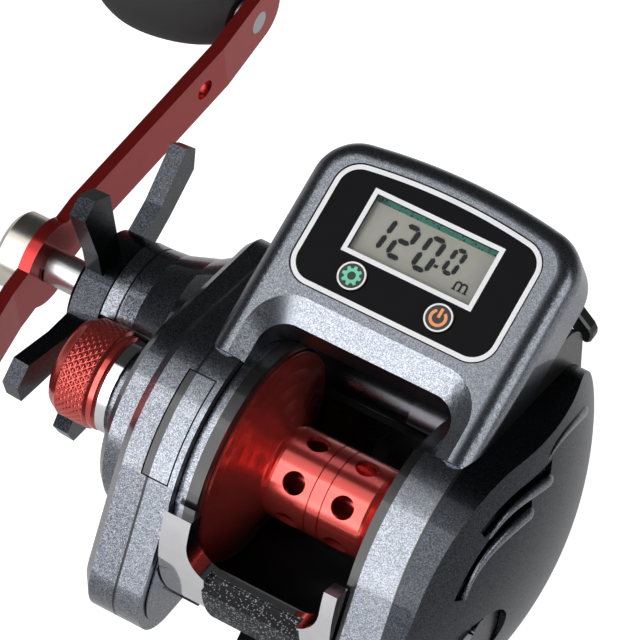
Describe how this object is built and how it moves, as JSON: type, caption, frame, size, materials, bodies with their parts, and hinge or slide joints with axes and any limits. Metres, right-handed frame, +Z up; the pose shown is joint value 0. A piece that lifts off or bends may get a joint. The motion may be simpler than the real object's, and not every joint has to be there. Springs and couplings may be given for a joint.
{
  "type": "digital baitcasting reel",
  "caption": "Low-profile baitcasting reel with a tilted counter display over the spool, a star drag and a double handle on the left.",
  "frame": {"origin": "middle of the foot's flat underside", "axes": "+X along the spool towards the palm side, +Y towards the rod's tip, +Z up out of the foot"},
  "size_m": [0.1237, 0.1324, 0.0665],
  "materials": {
    "flake_paint": "satin silver-black flake",
    "dark_metal": "black, semi-gloss",
    "red_metal": "anodised, bright",
    "steel": "brushed",
    "worm_steel": "turned",
    "chrome": "polished",
    "brass": "machined",
    "nylon": "moulded",
    "magnet": "plated",
    "ring_plastic": "moulded",
    "label": "gloss",
    "lens": "clear",
    "display": "grey-green",
    "board": "satin",
    "button_green": "satin",
    "button_orange": "satin",
    "cell": "brushed",
    "ceramic": "polished",
    "friction": "matt",
    "grip": "matt",
    "pad": "matt",
    "cap_metal": "satin"
  },
  "bodies": {
    "reel_body": {"frame": "flake_paint", "reel_foot": "dark_metal", "foot_screws": "steel", "inset_cover": "flake_paint", "worm_shield": "dark_metal", "handle_side_cover": "flake_paint", "side_screws": "steel", "tension_collar": "chrome", "palm_side_cover": "flake_paint", "magnet_ring": "ring_plastic", "brake_magnets": "magnet", "counter_housing": "flake_paint", "label_panel": "label", "lcd_lens": "lens", "lcd_module": "display", "circuit_board": "board", "coin_cell": "cell", "battery_cover": "dark_metal", "housing_screws": "steel", "front_hood": "dark_metal", "spool_bearings": "steel", "gear_bearings": "steel", "one_way_bearing": "steel", "yoke_posts": "steel", "yoke_springs": "steel", "worm_bushes": "nylon", "worm_tube": "dark_metal", "guide_rod": "steel"},
    "spool_body": {"spool": "red_metal", "spool_shaft": "steel", "clutch_pin": "steel", "spool_magnets": "magnet"},
    "yoke_body": {"clutch_yoke": "nylon"},
    "pinion_body": {"pinion_gear": "brass"},
    "drive_body": {"drive_gear": "brass", "drive_shaft": "steel", "levelwind_drive_gear": "nylon", "drive_sleeve": "steel", "drag_washers": "friction", "pressure_plate": "steel", "drag_spring_washers": "steel", "handle_arm": "red_metal", "handle_nut": "steel", "nut_cap": "cap_metal", "knob_spindles": "steel"},
    "star_body": {"star_drag": "flake_paint"},
    "worm_body": {"worm_shaft": "worm_steel", "worm_gear": "nylon"},
    "guide_body": {"line_guide": "dark_metal", "guide_eye": "ceramic", "guide_pawl": "steel", "pawl_cap": "brass"},
    "front_knob": {"handle_knob_front": "grip"},
    "rear_knob": {"handle_knob_rear": "grip"},
    "tension_body": {"tension_knob": "red_metal"},
    "thumb_body": {"thumb_bar": "chrome", "thumb_pad": "pad"},
    "mode_body": {"mode_button": "button_green"},
    "power_body": {"power_button": "button_orange"},
    "dial_body": {"brake_dial": "dark_metal"}
  },
  "joints": [
    {"name": "handle_turn", "type": "hinge", "parent": "reel_body", "child": "drive_body", "pos_m": [0, 0.01367, 0.02095], "axis": [1, 0, 0], "continuous": true},
    {"name": "spool_spin", "type": "hinge", "parent": "reel_body", "child": "spool_body", "pos_m": [0, -0.003, 0.023], "axis": [1, 0, 0], "continuous": true},
    {"name": "yoke_slide", "type": "slide", "parent": "reel_body", "child": "yoke_body", "axis": [-1, 0, 0], "range_m": [0, 0.0016]},
    {"name": "pinion_spin", "type": "hinge", "parent": "yoke_body", "child": "pinion_body", "pos_m": [0, -0.003, 0.023], "axis": [1, 0, 0], "continuous": true},
    {"name": "star_turn", "type": "hinge", "parent": "drive_body", "child": "star_body", "pos_m": [0, 0.01367, 0.02095], "axis": [1, 0, 0], "range_deg": [-540, 90]},
    {"name": "worm_spin", "type": "hinge", "parent": "reel_body", "child": "worm_body", "pos_m": [0, 0.02274, 0.01765], "axis": [1, 0, 0], "continuous": true},
    {"name": "guide_slide", "type": "slide", "parent": "reel_body", "child": "guide_body", "axis": [1, 0, 0], "range_m": [-0.0132, 0.0042]},
    {"name": "front_knob_spin", "type": "hinge", "parent": "drive_body", "child": "front_knob", "pos_m": [0, 0.07011, 0.03193], "axis": [1, 0, 0], "continuous": true},
    {"name": "rear_knob_spin", "type": "hinge", "parent": "drive_body", "child": "rear_knob", "pos_m": [0, -0.04278, 0.00998], "axis": [1, 0, 0], "continuous": true},
    {"name": "tension_turn", "type": "hinge", "parent": "reel_body", "child": "tension_body", "pos_m": [0, -0.003, 0.023], "axis": [1, 0, 0], "range_deg": [-360, 360]},
    {"name": "thumb_press", "type": "slide", "parent": "reel_body", "child": "thumb_body", "axis": [0, 0, -1], "range_m": [0, 0.0035]},
    {"name": "mode_press", "type": "slide", "parent": "reel_body", "child": "mode_body", "axis": [0, 0.4344, -0.9007], "range_m": [0, 0.0004], "stiffness_N_per_m": 400},
    {"name": "power_press", "type": "slide", "parent": "reel_body", "child": "power_body", "axis": [0, 0.4344, -0.9007], "range_m": [0, 0.0004], "stiffness_N_per_m": 400},
    {"name": "dial_turn", "type": "hinge", "parent": "reel_body", "child": "dial_body", "pos_m": [0, -0.011, 0.017], "axis": [1, 0, 0], "range_deg": [0, 270]}
  ],
  "couplings": [
    {"joint": "spool_spin", "follows": "handle_turn", "ratio": -6.3},
    {"joint": "pinion_spin", "follows": "handle_turn", "ratio": -6.3},
    {"joint": "worm_spin", "follows": "handle_turn", "ratio": -1.3333},
    {"joint": "yoke_slide", "follows": "thumb_press", "ratio": 0.45}
  ]
}
